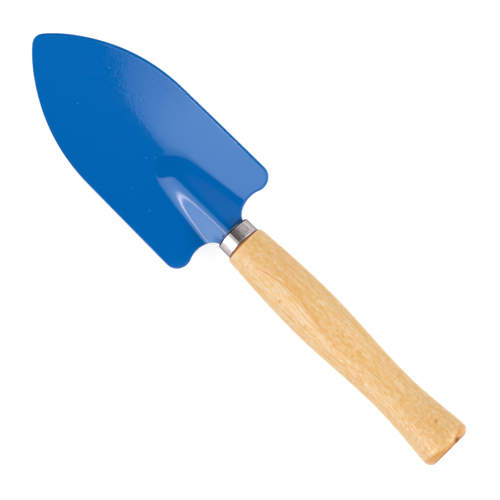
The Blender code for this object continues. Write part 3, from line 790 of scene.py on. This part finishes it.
def woodMaterial():
    p = wood
    material, tree, shader = newMaterial("lacquered_wood")
    where = fromButt(tree)
    x, y, z = axes(tree, where)

    fibres = noise(tree, stretch(tree, where, p["fibreScale"]), 1.0, 3.0, p["fibreRough"])
    strands = noise(tree, stretch(tree, where, p["strandScale"], p["strandOffset"]), 1.0, 3.0,
                    p["strandRough"], p["strandWarp"])
    flecks = noise(tree, stretch(tree, where, p["fleckScale"], p["fleckOffset"]), 1.0, 2.0, 0.5)
    tone = maths(tree, "MULTIPLY_ADD", fibres, p["fibreShare"], times(tree, strands, p["strandShare"]))
    tone = maths(tree, "MULTIPLY_ADD", minus(tree, flecks, 0.5), p["fleckShare"], tone)
    colour = mixColour(tree, band(tree, tone, p["toneDark"], p["toneMid"]), p["dark"], p["mid"])
    colour = mixColour(tree, band(tree, tone, p["toneMid"], p["toneLight"]), colour, p["light"])

    layer, rings = woodRings(tree, where, strands)
    # painted sheen on the +Y side and painted shade on the -Y side, split along the grain's layers
    side = mixColour(tree, band(tree, layer, p["shadedSideEnd"], p["sheenSideStart"]), p["shadedSideTint"], p["sheenSideTint"])
    colour = mixColour(tree, 1.0, colour, side, "MULTIPLY")
    knots = [(along, across, math.sqrt(gripRadius(along) ** 2 - across ** 2), radius, strength)
             for along, across, radius, strength in p["knots"]]
    knot = spots(tree, where, knots)

    # the butt's rounding and face show end grain, whose edge is ragged with the fibres; towards the top and
    # bottom edges the band reaches further along, as painted shade
    end = maths(tree, "MULTIPLY_ADD", minus(tree, fibres, 0.5), p["endRagged"], x)
    end = maths(tree, "MULTIPLY_ADD", maths(tree, "ABSOLUTE", y), -p["endShadeBow"], end)
    end = band(tree, end, p["endStart"], p["endFull"], 0.0, p["endShare"])
    # the face: end grain, darkened along the butt's outline as painted shade
    face = band(tree, x, p["faceStart"], p["faceFull"])

    # the shoulder is darkened where it goes under the ferrule's edge, painted shade with some stain, less so
    # away from the band's middle
    aside = maths(tree, "DIVIDE", minus(tree, y, p["shadeStainMiddle"]), p["shadeStainHalf"])
    narrowing = times(tree, aside, aside, -p["shadeStainWidth"])
    shadeStainPlace = minus(tree, handle["gripLength"] - p["shadeStainStart"] - p["shadeStainWidth"], narrowing)
    shadeStain = minus(tree, x, shadeStainPlace)
    # a painted highlight line along the shoulder's rounded top edge, behind the painted shade
    shoulderHighlight = maths(tree, "ABSOLUTE", maths(tree, "ADD", shadeStain, p["shoulderHighlightPlace"]))
    shoulderHighlight = band(tree, shoulderHighlight, p["shoulderHighlightWidth"], p["shoulderHighlightCore"], 0.0, p["shoulderHighlightShare"])
    soft = p["shadeStainSoft"]
    shadeAndStain = band(tree, shadeStain, -soft, soft, 0.0, p["shadeStainShare"])
    # painted shadow, with some dirt, in the dark gap to the ferrule
    gap = band(tree, x, handle["gripLength"] - p["gapShadowStart"], handle["gripLength"] - p["gapShadowFull"])
    chip = spots(tree, where, [(handle["chipAlong"], handle["chipAcross"], handle["chipUp"],
                                p["chipRadius"], p["chipStrength"])])
    torn = band(tree, fibres, p["chipFibreStart"], p["chipFibreEnd"], p["chipFibreShare"], 1.0)
    torn = times(tree, chip, torn)
    colour = layered(tree, colour, (rings, p["ring"]), (knot, p["knot"]), (end, p["endGrainAndShade"]),
                     (face, p["face"]), (shoulderHighlight, p["shoulderHighlight"]), (shadeAndStain, p["shoulder"]), (gap, p["gap"]),
                     (torn, p["chip"]))
    put(shader.inputs["Base Color"], colour)

    gloss = band(tree, x, p["glossStart"], p["glossFull"], p["roughness"], p["roughnessButt"])
    chipRough = times(tree, chip, p["roughnessChip"])
    put(shader.inputs["Roughness"], maths(tree, "MAXIMUM", gloss, chipRough))
    bare = maths(tree, "MAXIMUM", maths(tree, "MAXIMUM", knot, chip),
                 band(tree, x, p["bareButtStart"], p["bareButtFull"], 0.0, p["bareButt"]))
    bare = maths(tree, "MAXIMUM", bare, band(tree, shadeStain, -soft, soft, 0.0, p["bareShadeStain"]))
    put(shader.inputs["Coat Weight"], band(tree, bare, 0.0, p["bareFull"], p["coatWeight"], p["coatLeast"]))
    put(shader.inputs["Coat Roughness"], p["coatRoughness"])
    put(shader.inputs["Coat IOR"], p["coatIor"])
    marks = handled(tree, where, p)
    ripple = place(tree, rippleGroup, Place=where, Size=p["rippleSize"], Pits=0.0)["Height"]
    height = maths(tree, "MULTIPLY_ADD", fibres, p["fibreHeight"], ripple)
    height = maths(tree, "MULTIPLY_ADD", marks, -p["markDepth"], height)
    put(shader.inputs["Normal"], bump(tree, height, p["grainDepth"]))
    return material


makeBlade(paintMaterial())
print("blade made")
makeFerrule(steelMaterial())
print("ferrule made")
makeHandle(woodMaterial())
print("handle made")


# Floor: white to the camera where no shadow falls, and clear when it is seen from below

floor = {"size": 20.0, "albedo": 0.45, "lift": 0.74}


def makeFloor():
    material = bpy.data.materials.new("white_floor")
    material.use_nodes = True
    tree = material.node_tree
    tree.nodes.clear()
    diffuse = addNode(tree, "ShaderNodeBsdfDiffuse", {"Color": (floor["albedo"],) * 3})[0]
    path = addNode(tree, "ShaderNodeLightPath", {})
    seen = maths(tree, "ADD", path["Is Camera Ray"], path["Is Glossy Ray"])
    seen = maths(tree, "ADD", seen, path["Is Transmission Ray"], clamp=True)
    glow = addNode(tree, "ShaderNodeEmission", {"Strength": times(tree, seen, floor["lift"])})[0]
    both = addNode(tree, "ShaderNodeAddShader", {0: diffuse, 1: glow})[0]
    clear = addNode(tree, "ShaderNodeBsdfTransparent", {})[0]
    behind = addNode(tree, "ShaderNodeNewGeometry", {})["Backfacing"]
    facing = addNode(tree, "ShaderNodeMixShader", {0: behind, 1: both, 2: clear})[0]
    addNode(tree, "ShaderNodeOutputMaterial", {"Surface": facing})
    half = floor["size"] / 2
    corners = [(-half, -half, 0.0), (half, -half, 0.0), (half, half, 0.0), (-half, half, 0.0)]
    stage = newObject("floor", corners, [(0, 1, 2, 3)], material)


makeFloor()
print("floor made")


# Light: soft boxes in the world, placed by the slope of the direction, dx = x / z and dy = y / z

light = {
    "lowest": 0.03, "edgeSoft": 0.005, "dark": 0.006,
    # the main box, from a straight edge outwards, brighter away from it and along its rear part
    "mainTurn": 50.3, "mainEdge": 0.47, "mainLow": 0.8, "mainHigh": 3.6, "mainGrowth": 0.6,
    "mainRim": 0.8, "mainRimReach": 0.45, "mainRimFront": -0.12, "mainRimRear": -0.02,
    "mainSideTurn": 151.6, "mainSide": 0.63, "mainWeak": -0.26, "mainFull": 0.0, "mainLoss": 0.24,
    "mainOuter": 2.7, "mainOuterEnd": 3.7, "mainOuterLoss": 0.58,
    "mainBackStart": 0.05, "mainBackEnd": -0.5, "mainBack": 0.1,
    # a warm strip lamp inside it
    "stripPlace": 1.31, "stripWidth": 0.075, "stripGlow": 11.0, "stripEnd": -0.08, "stripFade": 0.4,
    "stripColour": (1.0, 0.66, 0.46),
    # a faint wall to the side, a fill from the rear, and a small box behind the camera
    "sideTurn": -70.7, "sideEdge": 0.947, "sideStart": 0.05, "sideGlow": 0.21, "sideGrowth": 0.45,
    "fillEdge": -0.08, "fillSoft": 0.36, "fillLean": 0.05, "fillMiddle": 0.52,
    "fillRight": 2.8, "fillReach": 1.6, "fillBackStart": -0.5, "fillBackEnd": -1.1,
    "boxX": -1.43, "boxY": -0.93, "boxHalfX": 0.3, "boxHalfY": 0.4, "boxSoft": 0.08, "boxGlow": 15.0,
}


def makeWorld():
    p = light
    soft = p["edgeSoft"]
    world = bpy.data.worlds.new("studio")
    bpy.context.scene.world = world
    world.use_nodes = True
    tree = world.node_tree
    tree.nodes.clear()
    x, y, z = axes(tree, tree.nodes.new("ShaderNodeTexCoord").outputs["Generated"])
    z = maths(tree, "MAXIMUM", z, p["lowest"])
    dx = maths(tree, "DIVIDE", x, z)
    dy = maths(tree, "DIVIDE", y, z)

    def turned(angle, offset=0.0):  # how far a slope lies in the direction of an angle
        a = math.radians(angle)
        return maths(tree, "ADD", times(tree, dx, math.cos(a)),
                     maths(tree, "MULTIPLY_ADD", dy, math.sin(a), offset))

    def decay(value, length):  # 1 at zero, falling off exponentially
        return maths(tree, "EXPONENT", times(tree, maths(tree, "MAXIMUM", value, 0.0), -1 / length))

    def within(value, middle, half):  # 1 inside a span, 0 outside
        gap = apart(tree, value, middle)
        return band(tree, gap, half + p["boxSoft"], half - p["boxSoft"])

    out = turned(p["mainTurn"], -p["mainEdge"])
    across = turned(p["mainTurn"] + 90)
    sideways = turned(p["mainSideTurn"], p["mainSide"])
    main = times(tree, band(tree, out, -soft, soft), band(tree, sideways, -soft, soft))
    nearEdge = decay(out, p["mainGrowth"])
    glow = maths(tree, "MULTIPLY_ADD", nearEdge, p["mainLow"] - p["mainHigh"], p["mainHigh"])
    glow = times(tree, glow, band(tree, across, p["mainWeak"], p["mainFull"], 1 - p["mainLoss"], 1.0))
    rim = times(tree, band(tree, out, p["mainRimReach"], 0.0, 0.0, p["mainRim"]),
                band(tree, across, p["mainRimFront"], p["mainRimRear"]))
    glow = maths(tree, "ADD", glow, rim)

    strip = maths(tree, "DIVIDE", minus(tree, out, p["stripPlace"] - p["mainEdge"]), p["stripWidth"])
    strip = maths(tree, "EXPONENT", times(tree, strip, strip, -1.0))
    strip = times(tree, strip, band(tree, across, p["stripEnd"], 0.0, 1 - p["stripFade"], 1.0))
    glow = maths(tree, "MULTIPLY_ADD", strip, p["stripGlow"], glow)
    stripGlow = times(tree, strip, p["stripGlow"], main)
    stripShare = maths(tree, "DIVIDE", stripGlow, glow)

    outer = band(tree, out, p["mainOuter"] - p["mainEdge"], p["mainOuterEnd"] - p["mainEdge"],
                 1.0, 1 - p["mainOuterLoss"])
    outer = times(tree, outer,
                  band(tree, dx, p["mainBackEnd"], p["mainBackStart"], p["mainBack"], 1.0))
    total = times(tree, main, glow, outer)

    side = turned(p["sideTurn"], -p["sideEdge"])
    sideGlow = maths(tree, "MULTIPLY_ADD", decay(side, p["sideGrowth"]), -p["sideGlow"],
                     p["sideStart"] + p["sideGlow"])
    sideGlow = times(tree, sideGlow, band(tree, side, -soft, soft))
    fill = times(tree, band(tree, dy, 0.0, -p["fillReach"], 0.0, p["fillRight"]),
                 band(tree, dx, p["fillBackEnd"], p["fillBackStart"]))
    fill = maths(tree, "ADD", fill, p["fillMiddle"])
    fillSide = maths(tree, "MULTIPLY_ADD", dy, p["fillLean"], dx)
    fill = times(tree, fill,
                 band(tree, fillSide, p["fillEdge"], p["fillEdge"] + p["fillSoft"], 1.0, 0.0))
    others = maths(tree, "ADD", sideGlow, fill)
    total = maths(tree, "MULTIPLY_ADD", minus(tree, 1.0, main), others, total)
    box = times(tree, within(dx, p["boxX"], p["boxHalfX"]), within(dy, p["boxY"], p["boxHalfY"]))
    total = maths(tree, "MULTIPLY_ADD", box, p["boxGlow"], total)
    total = maths(tree, "ADD", total, p["dark"])

    # the camera sees plain white
    seen = addNode(tree, "ShaderNodeLightPath", {})["Is Camera Ray"]
    white = times(tree, seen, minus(tree, 1.0, total))
    warm = times(tree, stripShare, minus(tree, 1.0, seen))
    colour = mixColour(tree, warm, (1.0, 1.0, 1.0), p["stripColour"])
    strength = maths(tree, "ADD", total, white)
    background = addNode(tree, "ShaderNodeBackground", {"Color": colour, "Strength": strength})[0]
    addNode(tree, "ShaderNodeOutputWorld", {"Surface": background})


makeWorld()
print("light made")


# Camera: the photograph's view, looking down and a little towards the tip, turned in its own plane

camera = {"behindButt": 0.0013, "height": 0.8514, "tilt": 9.88, "roll": 44.86, "lens": 117.95, "sensor": 36.0}


def makeCamera():
    tilt, roll = math.radians(camera["tilt"]), math.radians(camera["roll"])
    look = Vector((math.sin(tilt), 0.0, -math.cos(tilt)))
    ahead = Vector((math.cos(tilt), 0.0, math.sin(tilt)))
    aside = Vector((0.0, 1.0, 0.0))
    right = -math.cos(roll) * ahead - math.sin(roll) * aside
    up = math.sin(roll) * ahead - math.cos(roll) * aside
    data = bpy.data.cameras.new("camera")
    data.lens = camera["lens"]
    data.sensor_width = camera["sensor"]
    made = bpy.data.objects.new("camera", data)
    bpy.context.scene.collection.objects.link(made)
    turn = Matrix((right, up, -look)).transposed().to_4x4()
    made.matrix_world = Matrix.Translation((buttX - camera["behindButt"], 0.0, camera["height"])) @ turn
    bpy.context.scene.camera = made


makeCamera()
bpy.context.scene.view_settings.view_transform = "Standard"
print("camera made")
